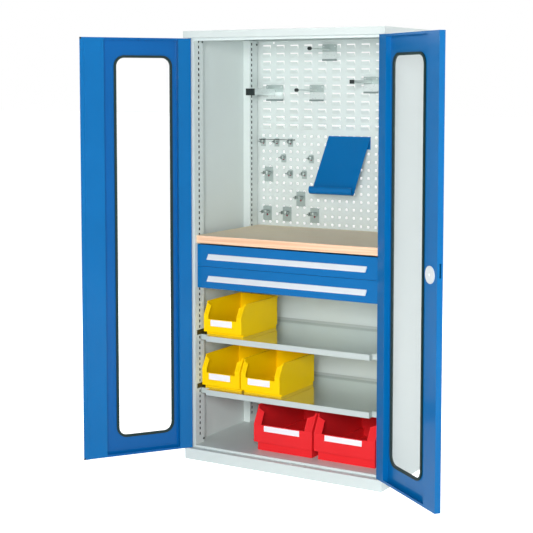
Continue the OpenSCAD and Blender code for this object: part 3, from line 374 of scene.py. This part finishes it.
def addPiece(name, mesh, material, body):
    piece = bpy.data.objects.new(name, mesh)
    bpy.context.scene.collection.objects.link(piece)
    mesh.materials.append(material)
    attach(piece, body)
    return piece


def fromShape(name, shape, smooth=False):
    bmesh.ops.recalc_face_normals(shape, faces=shape.faces)
    mesh = bpy.data.meshes.new(name)
    shape.to_mesh(mesh)
    shape.free()
    if smooth:
        mesh.shade_smooth()
    return mesh


def boxInto(shape, low, high):
    corners = [shape.verts.new((x, y, z)) for z in (low[2], high[2]) for y in (low[1], high[1])
               for x in (low[0], high[0])]
    for ring in ((0, 2, 3, 1), (4, 5, 7, 6), (0, 1, 5, 4), (2, 6, 7, 3), (0, 4, 6, 2),
                 (1, 3, 7, 5)):
        shape.faces.new([corners[k] for k in ring])


def ringAround(shape, centre, radius, side, up, sides):
    # corners of a round section, side and up being its two directions
    ring = []
    for n in range(sides):
        a = 2 * math.pi * n / sides
        ring.append(shape.verts.new(centre + radius * (math.cos(a) * side + math.sin(a) * up)))
    return ring


def tubeInto(shape, path, radius, sides=8):
    # a round bead along a path, a little wider where it turns a corner
    points = [Vector(p) for p in path]
    rings = []
    for k, point in enumerate(points):
        before = (point - points[k - 1] if k else points[1] - point).normalized()
        after = (points[k + 1] - point).normalized() if k + 1 < len(points) else before
        along = (before + after).normalized()
        side = lastSide - along * lastSide.dot(along) if rings else along.orthogonal()
        lastSide = side.normalized()
        stretch = 1 / max(0.5, along.dot(before))
        rings.append(ringAround(shape, point, radius * (1 + 0.5 * (stretch - 1)), lastSide,
                                along.cross(lastSide), sides))
    for first, second in zip(rings, rings[1:]):
        for n in range(sides):
            m = (n + 1) % sides
            shape.faces.new((first[n], first[m], second[m], second[n]))
    shape.faces.new(rings[0][::-1])
    shape.faces.new(rings[-1])


def turnedInto(shape, profile, base, axis, sides=16):
    # a turned shape: (radius, height) pairs from the rim to the middle
    axis = Vector(axis).normalized()
    side = axis.orthogonal().normalized()
    up = axis.cross(side)
    rings = []
    for radius, height in profile:
        centre = Vector(base) + axis * height
        rings.append(ringAround(shape, centre, radius, side, up, sides) if radius
                     else [shape.verts.new(centre)])
    for first, second in zip(rings, rings[1:]):
        for n in range(sides):
            m = (n + 1) % sides
            if len(second) == 1:
                shape.faces.new((first[n], first[m], second[0]))
            else:
                shape.faces.new((first[n], first[m], second[m], second[n]))
    shape.faces.new(rings[0][::-1])


# stacking bins: the CAD bin gets its rim bead, mouth bead, ribs and label; label is x and z, low
# and high, from the bin's lower front left corner
binKinds = {
    "yellow": {"w": 0.208, "l": 0.320, "h": 0.150, "foot": 0.014, "mouth": 0.072, "bead": 0.0022,
               "plastic": yellowPlastic, "slot": "yellow_plastic",
               "label": (0.040, 0.154, 0.0415, 0.0705)},
    "red": {"w": 0.305, "l": 0.470, "h": 0.200, "foot": 0.041, "mouth": 0.121, "bead": 0.0028,
            "plastic": redPlastic, "slot": "red_plastic", "label": (0.056, 0.238, 0.0930, 0.1192)},
}
binShape = {"rim": 0.003, "shoulder": 0.61, "slope": 0.22, "mouthSide": 0.13, "post": 0.87,
            "ledge": 0.93, "wall": 0.0025}
binTrim = {"rimIn": 0.001, "rimStart": 0.002, "faceIn": 0.0005, "ribIn": 0.003, "ribUp": 0.004,
           "footLip": 0.0015, "labelLip": 0.0014, "lipSide": 0.002, "lipOut": 0.0016}
bins = {
    "bin_yellow_top": ("yellow", "yellow_bin_top"),
    "bin_yellow_left": ("yellow", "yellow_bin_left"),
    "bin_yellow_right": ("yellow", "yellow_bin_right"),
    "bin_red_left": ("red", "red_bin_left"),
    "bin_red_right": ("red", "red_bin_right"),
}


def dressBin(node, kind, body):
    look = binKinds[kind]
    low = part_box(node)[0]
    w, l, h, bead = look["w"], look["l"], look["h"], look["bead"]
    slope, shoulder = binShape["slope"] * h, binShape["shoulder"] * h
    rim, inset, face = binShape["rim"], binTrim["rimIn"], binTrim["faceIn"]

    def at(x, y, z):
        return low + Vector((x, y, z))

    shape = bmesh.new()
    top, start = h - inset, slope + binTrim["rimStart"]
    tubeInto(shape, [at(inset, start, top), at(inset, l - inset, top),
                     at(w - inset, l - inset, top), at(w - inset, start, top)], bead)
    # the mouth: its lower edge, the posts beside it and the step to the side walls
    mouthX, ledgeX = binShape["mouthSide"] * w, rim + 2 * binShape["wall"]
    postZ, ledgeZ = binShape["post"] * h, binShape["ledge"] * h
    edge = [(ledgeX, h - 0.002), (ledgeX, ledgeZ), (mouthX, postZ), (mouthX, shoulder),
            (mouthX, look["mouth"])]
    edge += [(w - x, z) for x, z in edge[::-1]]
    tubeInto(shape, [at(x, face + slope * max(0, z - shoulder) / (h - shoulder), z)
                     for x, z in edge], bead * 0.9)
    # upright ribs beside the front corners, and the lip under the body
    for x in (rim + binTrim["ribIn"], w - rim - binTrim["ribIn"]):
        tubeInto(shape, [at(x, face, look["foot"] + binTrim["ribUp"]), at(x, face, shoulder),
                         at(x, slope, h - 0.002)], bead * 0.7)
    lipZ = look["foot"] + binTrim["footLip"]
    tubeInto(shape, [at(rim, inset, lipZ), at(w - rim, inset, lipZ)], binTrim["footLip"])
    # lips that hold the label, and the blank label
    x0, x1, z0, z1 = look["label"]
    for z in (z0 - 0.0012, z1 - 0.0002):
        boxInto(shape, at(x0 - binTrim["lipSide"], -binTrim["lipOut"], z),
                at(x1 + binTrim["lipSide"], inset, z + binTrim["labelLip"]))
    beads = addPiece(node + "_beads", fromShape(node + "_beads", shape, True), look["plastic"],
                     body)
    beads.modifiers.new("crisp", "WEIGHTED_NORMAL")
    paper = bmesh.new()
    boxInto(paper, at(x0, -0.0008, z0), at(x1, 0.0004, z1))
    label = addPiece(node + "_label", fromShape(node + "_label", paper), labelPaper, body)
    softenEdges(label, 0.0003)


for node, (kind, body) in bins.items():
    dressBin(node, kind, body)
print("bins dressed")

# tool clips: wire edges on the rings, guide tips beside the way in, and a rivet under each;
# places are column and row on the panel's hole grid
clipLook = {"col0": -0.437, "row0": 1.047, "pitch": 0.038, "rise": 0.010, "panel": 0.297,
            "wall": 0.0014, "height": 0.013, "wire": 0.0011, "arcStart": -135, "arcStep": 15,
            "arcPoints": 19, "tipAt": 0.71, "tipWire": 1.3, "rivet": 0.0046, "rivetDown": 0.75,
            "small": [(0, 10), (2, 10), (4, 10), (3, 8), (7, 8), (4, 6), (6, 6)], "smallR": 0.011,
            "large": [(0.8, 6), (5.5, 3), (0.6, 1), (3.5, 1), (7.5, 1)], "largeR": 0.020}


def dressClips(look):
    wires, rivets = bmesh.new(), bmesh.new()
    angles = [math.radians(look["arcStart"] + look["arcStep"] * k)
              for k in range(look["arcPoints"])]
    head = look["rivet"]
    headProfile = [(head, 0), (head, 0.001), (head * 0.8, 0.0022), (head * 0.4, 0.003), (0, 0.0032)]
    clips = [(place, look[size + "R"]) for size in ("small", "large") for place in look[size]]
    for (col, row), r in clips:
        x = look["col0"] + col * look["pitch"]
        z = look["row0"] + row * look["pitch"] + look["rise"]
        y = look["panel"] - r - look["wall"]
        ring = r - look["wall"] / 2
        for up in (-1, 0, 1):
            tubeInto(wires, [(x + ring * math.sin(a), y + ring * math.cos(a),
                              z + up * look["height"] / 2) for a in angles], look["wire"], 6)
        for side in (-1, 1):
            tip = Vector((x + side * look["tipAt"] * r, y - look["tipAt"] * r, z))
            tubeInto(wires, [tip, tip + Vector((side * 0.003, -0.004, 0)),
                             tip + Vector((side * 0.007, -0.005, 0))],
                     look["wire"] * look["tipWire"], 6)
        seat = (x, look["panel"] - look["wall"], z - look["rivetDown"] * r)
        turnedInto(rivets, headProfile, seat, (0, -1, 0))
    addPiece("clip_wires", fromShape("clip_wires", wires, True), darkSteel, "cabinet")
    addPiece("clip_rivets", fromShape("clip_rivets", rivets, True), redRivet, "cabinet")


dressClips(clipLook)

# the four hook plates: folded upper pocket, lower lip dark with painted shade, two screws above and
# one below;
# down is the number of louvre rows below the highest plate, the third plate being the square hook's
plateLook = {"x": [-0.069, -0.137, 0.149, -0.368], "down": [0, 5, 4, 5],
             "half": [0.038, 0.038, 0.038, 0.046], "pitch": 0.038, "front": 0.2857, "back": 0.001,
             "pocket": 0.035, "pocketOut": 0.0013, "lip": 0.009, "lipOut": 0.0035, "radius": 0.0036,
             "screwIn": 0.008, "screwDown": 0.010, "lowScrewDown": 0.060}


def dressHookPlates(look):
    low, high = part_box("bar_hook")
    screws, pockets, lips = bmesh.new(), bmesh.new(), bmesh.new()
    front, back, r = look["front"], look["front"] + look["back"], look["radius"]
    headProfile = [(r, 0), (r, 0.0012), (r * 0.86, 0.0024), (r * 0.5, 0.0028), (r * 0.45, 0.0014),
                   (0, 0.0014)]
    for x, down, half in zip(look["x"], look["down"], look["half"]):
        top = high.z + (look["down"][2] - down) * look["pitch"]
        foot = top - (high.z - low.z)
        boxInto(pockets, (x - half, front - look["pocketOut"], top - look["pocket"]),
                (x + half, back, top - 0.0004))
        boxInto(lips, (x - half, front - look["lipOut"], foot),
                (x + half, back, foot + look["lip"]))
        sideways = half - look["screwIn"]
        for dx, dz in ((-sideways, look["screwDown"]), (sideways, look["screwDown"]),
                       (0, look["lowScrewDown"])):
            seat = front - (look["pocketOut"] if dz < look["pocket"] else 0)
            turnedInto(screws, headProfile, (x + dx, seat, top - dz), (0, -1, 0))
    addPiece("hook_plate_screws", fromShape("hook_plate_screws", screws, True), brightZinc,
             "cabinet")
    for name, shape, zinc in (("hook_plate_pockets", pockets, pocketZinc),
                              ("hook_plate_shaded_lips", lips, lipShadedZinc)):
        softenEdges(addPiece(name, fromShape(name, shape), zinc, "cabinet"),
                    plainRadius)


dressHookPlates(plateLook)
print("panel fittings dressed")

studio = {"floor": srgb(250, 250, 250), "reach": 60.0, "roughness": 0.9, "shine": 0.1,
          "mottleScale": 40.0, "ambient": 0.12, "tint": (0.93, 0.97, 1.0, 1), "lift": 0.9}


def seenBackdrop(tree):
    # 1 for rays that show the backdrop: camera, reflection and glass
    path = tree.nodes.new("ShaderNodeLightPath")
    either = calc(tree, "MAXIMUM", path.outputs["Is Camera Ray"], path.outputs["Is Glossy Ray"])
    return calc(tree, "MAXIMUM", either, path.outputs["Is Transmission Ray"])


def makeFloor(look):
    shape = bmesh.new()
    r = look["reach"]
    shape.faces.new([shape.verts.new((x, y, 0)) for x, y in ((-r, -r), (r, -r), (r, r), (-r, r))])
    floor = bpy.data.objects.new("studioFloor", fromShape("studioFloor", shape))
    bpy.context.scene.collection.objects.link(floor)
    mat, tree, shader = startMaterial("paperFloor")
    shader.inputs["Roughness"].default_value = look["roughness"]
    shader.inputs["Specular IOR Level"].default_value = look["shine"]
    fine = noise(tree, place(tree, (1, 1, 1)), look["mottleScale"], 2)
    tree.links.new(blendColours(tree, spread(tree, fine, 0, 1), darker(look["floor"], 0.98),
                                look["floor"]), shader.inputs["Base Color"])
    shader.inputs["Emission Color"].default_value = (1, 1, 1, 1)
    tree.links.new(calc(tree, "MULTIPLY", seenBackdrop(tree), look["lift"]),
                   shader.inputs["Emission Strength"])
    floor.data.materials.append(mat)


def makeWorld(look):
    world = bpy.data.worlds.new("studioWorld")
    bpy.context.scene.world = world
    world.use_nodes = True
    tree = world.node_tree
    tree.nodes.clear()
    out = tree.nodes.new("ShaderNodeOutputWorld")
    light, seen = [tree.nodes.new("ShaderNodeBackground") for k in range(2)]
    light.inputs["Strength"].default_value = look["ambient"]
    light.inputs["Color"].default_value = look["tint"]
    seen.inputs["Strength"].default_value = 1.0
    seen.inputs["Color"].default_value = (1, 1, 1, 1)
    mix = tree.nodes.new("ShaderNodeMixShader")
    tree.links.new(seenBackdrop(tree), mix.inputs["Fac"])
    tree.links.new(light.outputs[0], mix.inputs[1])
    tree.links.new(seen.outputs[0], mix.inputs[2])
    tree.links.new(mix.outputs[0], out.inputs["Surface"])


makeFloor(studio)
makeWorld(studio)

# place, width, watts and where each soft box looks
softBoxes = {
    "keyBox": {"at": (2.4, -5.2, 2.2), "size": 1.2, "power": 186, "aim": (0.0, 0.0, 1.0)},
    "lowBox": {"at": (2.0, -5.0, 0.85), "size": 2.4, "power": 88, "aim": (0.0, 0.0, 0.8)},
    "leftBox": {"at": (-3.6, -3.4, 2.6), "size": 2.0, "power": 12, "aim": (0.0, 0.0, 1.0)},
    "rightBox": {"at": (4.6, 0.4, 2.0), "size": 2.2, "power": 60, "aim": (0.5, 0.0, 1.0)},
    "leftBackBox": {"at": (-4.6, 1.6, 2.4), "size": 2.2, "power": 85, "aim": (-0.5, 0.0, 1.0)},
    "backBox": {"at": (0.6, 4.6, 3.2), "size": 2.4, "power": 120, "aim": (0.0, 0.0, 1.0)},
}


def makeSoftBox(name, look):
    data = bpy.data.lights.new(name, "AREA")
    data.shape = "DISK"
    data.size = look["size"]
    data.energy = look["power"]
    lamp = bpy.data.objects.new(name, data)
    lamp.location = look["at"]
    towards = Vector(look["aim"]) - Vector(look["at"])
    lamp.rotation_euler = towards.to_track_quat("-Z", "Y").to_euler()
    bpy.context.scene.collection.objects.link(lamp)


for name, look in softBoxes.items():
    makeSoftBox(name, look)

# the photograph's viewpoint: a little above the middle, looking slightly down, with a small
# shift of the frame; pixels is the focal length in pixels of a frame as wide as the photograph
viewPoint = {"at": (2.8663, -5.2093, 1.7115), "turn": 30.835, "down": 4.659, "pixels": 1318.5,
             "frame": 533, "shift": -0.1398, "sensor": 36.0, "reach": 200}


def makeCamera(look):
    data = bpy.data.cameras.new("photoCamera")
    data.sensor_width = look["sensor"]
    data.sensor_fit = "HORIZONTAL"
    data.lens = look["pixels"] * look["sensor"] / look["frame"]
    data.shift_y = look["shift"]
    data.clip_end = look["reach"]
    camera = bpy.data.objects.new("photoCamera", data)
    camera.location = look["at"]
    camera.rotation_euler = (math.radians(90 - look["down"]), 0, math.radians(look["turn"]))
    bpy.context.scene.collection.objects.link(camera)
    bpy.context.scene.camera = camera


makeCamera(viewPoint)
bpy.context.scene.view_settings.view_transform = "Standard"
print("studio set up")
